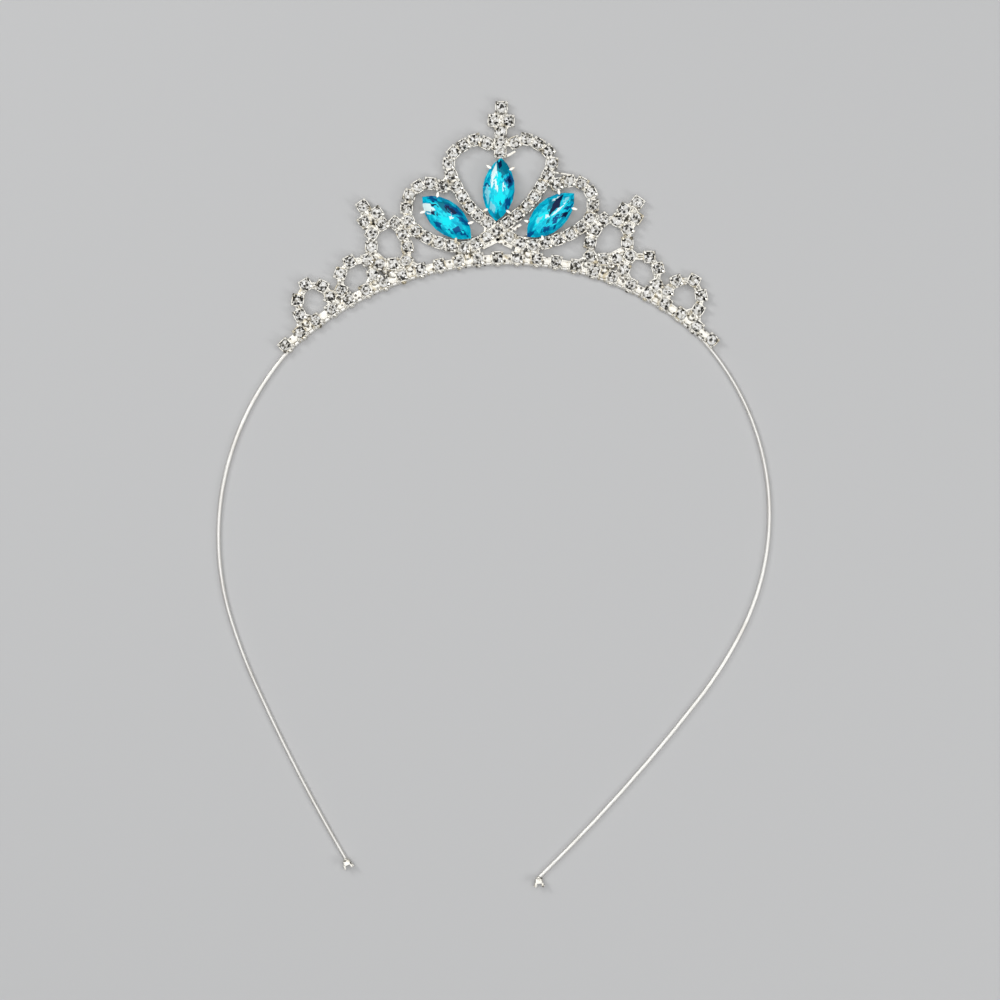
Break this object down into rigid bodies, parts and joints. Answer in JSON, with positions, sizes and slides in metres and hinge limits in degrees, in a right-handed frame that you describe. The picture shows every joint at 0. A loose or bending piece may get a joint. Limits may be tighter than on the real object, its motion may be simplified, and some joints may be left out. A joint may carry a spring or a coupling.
{
  "type": "mini crown headband",
  "caption": "Spring wire headband bent to a horseshoe, with a small open crown of clear stone cup chain and three aqua navette stones in the same plane.",
  "frame": {"origin": "middle of the whole piece seen from above, on the surface that it lies on", "axes": "+Z is the crown's front, which faces up as the piece lies; +Y runs from the wire's open ends to the crown's top; +X is to the right as seen from the front"},
  "size_m": [0.1248, 0.177, 0.0037],
  "materials": {
    "plated_wire": "bright silver-coloured plating on spring steel",
    "plated_cups": "silver-coloured plating on brass cups, with a warm tint at the solder",
    "clear_stone": "clear cut glass with a foil back",
    "aqua_stone": "aqua cut stone with a foil back"
  },
  "bodies": {
    "root": {"headband": "plated_wire", "crown": "plated_cups", "row_stones": "clear_stone", "heart_stones": "clear_stone", "cross_stones": "clear_stone", "left_loop_stones": "clear_stone", "right_loop_stones": "clear_stone", "left_ring_stones": "clear_stone", "right_ring_stones": "clear_stone", "left_side_stones": "clear_stone", "right_side_stones": "clear_stone", "middle_navette": "aqua_stone", "left_navette": "aqua_stone", "right_navette": "aqua_stone"}
  },
  "joints": []
}
